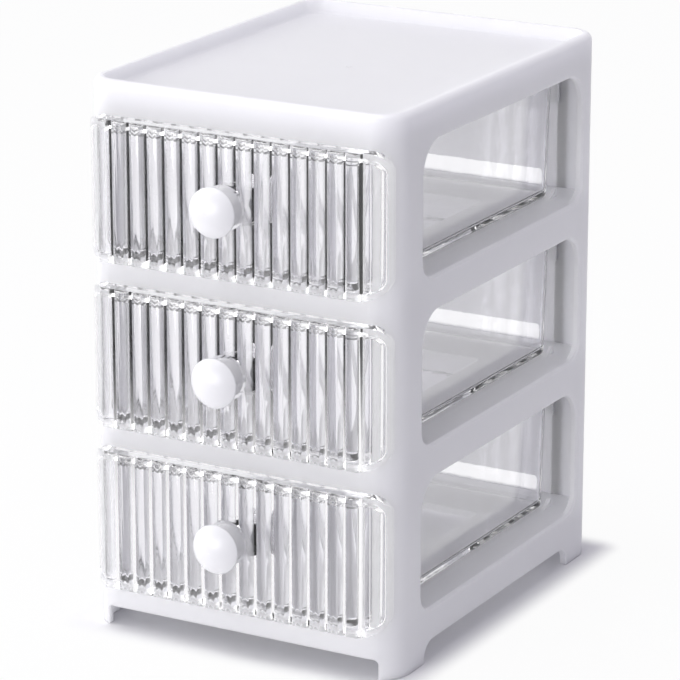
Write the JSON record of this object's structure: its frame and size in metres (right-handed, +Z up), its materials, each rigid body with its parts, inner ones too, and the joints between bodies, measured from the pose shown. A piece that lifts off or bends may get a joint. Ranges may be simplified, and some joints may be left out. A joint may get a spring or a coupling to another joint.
{
  "type": "desktop drawer organizer",
  "caption": "Desktop organizer: clear fluted drawers with round knobs slide out of a white case with windowed sides, a rimmed top tray and short corner feet.",
  "frame": {"origin": "under the middle of the whole object, knobs included, on the surface it stands on", "axes": "+X to the right seen from the front, -Y out of the front, +Z up"},
  "size_m": [0.123, 0.177, 0.2],
  "materials": {
    "white_plastic": "satin white moulding",
    "clear_plastic": "clear polystyrene",
    "knob_plastic": "smooth white",
    "screw_steel": "plated steel"
  },
  "bodies": {
    "case": {"frame_body": "white_plastic", "back_panel": "white_plastic"},
    "lower_drawer": {"lower_drawer_tray": "clear_plastic", "lower_drawer_front": "clear_plastic", "lower_knob": "knob_plastic", "lower_knob_screw": "screw_steel"},
    "middle_drawer": {"middle_drawer_tray": "clear_plastic", "middle_drawer_front": "clear_plastic", "middle_knob": "knob_plastic", "middle_knob_screw": "screw_steel"},
    "upper_drawer": {"upper_drawer_tray": "clear_plastic", "upper_drawer_front": "clear_plastic", "upper_knob": "knob_plastic", "upper_knob_screw": "screw_steel"}
  },
  "joints": [
    {"name": "lower_drawer_slide", "type": "slide", "parent": "case", "child": "lower_drawer", "axis": [0, -1, 0], "range_m": [0, 0.11]},
    {"name": "middle_drawer_slide", "type": "slide", "parent": "case", "child": "middle_drawer", "axis": [0, -1, 0], "range_m": [0, 0.11]},
    {"name": "upper_drawer_slide", "type": "slide", "parent": "case", "child": "upper_drawer", "axis": [0, -1, 0], "range_m": [0, 0.11]}
  ]
}
